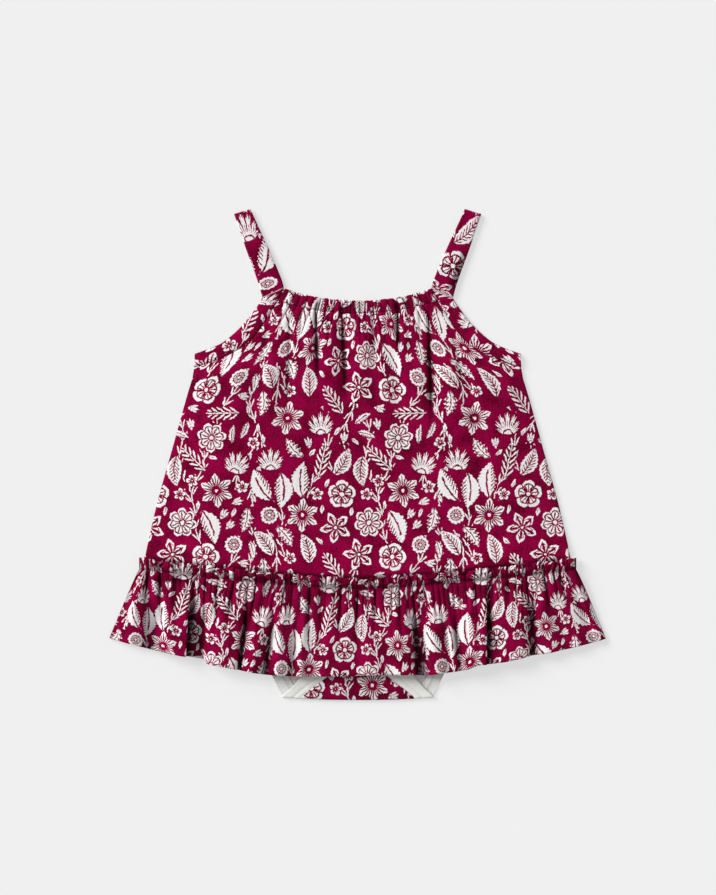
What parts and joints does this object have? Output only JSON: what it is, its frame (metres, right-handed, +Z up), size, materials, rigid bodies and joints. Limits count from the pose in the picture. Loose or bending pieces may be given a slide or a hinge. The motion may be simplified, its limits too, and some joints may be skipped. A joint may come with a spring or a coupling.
{
  "type": "baby bodysuit dress",
  "caption": "Sleeveless baby dress with a bodysuit inside, laid flat: gathered neck casing, shoulder straps, A-line body, gathered ruffle hem and a crotch flap with bound leg edges.",
  "frame": {"origin": "centre of the garment's box, on the surface that it lies on", "axes": "+X across the garment to the right, seen from above with the straps at the top; +Y from the crotch to the straps; +Z up from the surface"},
  "size_m": [0.4053, 0.4008, 0.0138],
  "materials": {
    "printed_jersey": "cranberry cotton jersey with a white floral print",
    "white_binding": "off-white jersey binding",
    "snap_cap": "off-white enamelled snap cap"
  },
  "bodies": {
    "root": {"front_panel": "printed_jersey", "back_panel": "printed_jersey", "neck_casing_front": "printed_jersey", "neck_casing_back": "printed_jersey", "armhole_band_front_left": "printed_jersey", "armhole_band_front_right": "printed_jersey", "armhole_band_back_left": "printed_jersey", "armhole_band_back_right": "printed_jersey", "strap_left": "printed_jersey", "strap_right": "printed_jersey", "ruffle_front": "printed_jersey", "ruffle_back": "printed_jersey", "bodysuit_front": "printed_jersey", "bodysuit_back": "printed_jersey", "leg_binding_left": "white_binding", "leg_binding_right": "white_binding", "snap_1": "snap_cap", "snap_2": "snap_cap", "snap_3": "snap_cap"}
  },
  "joints": []
}
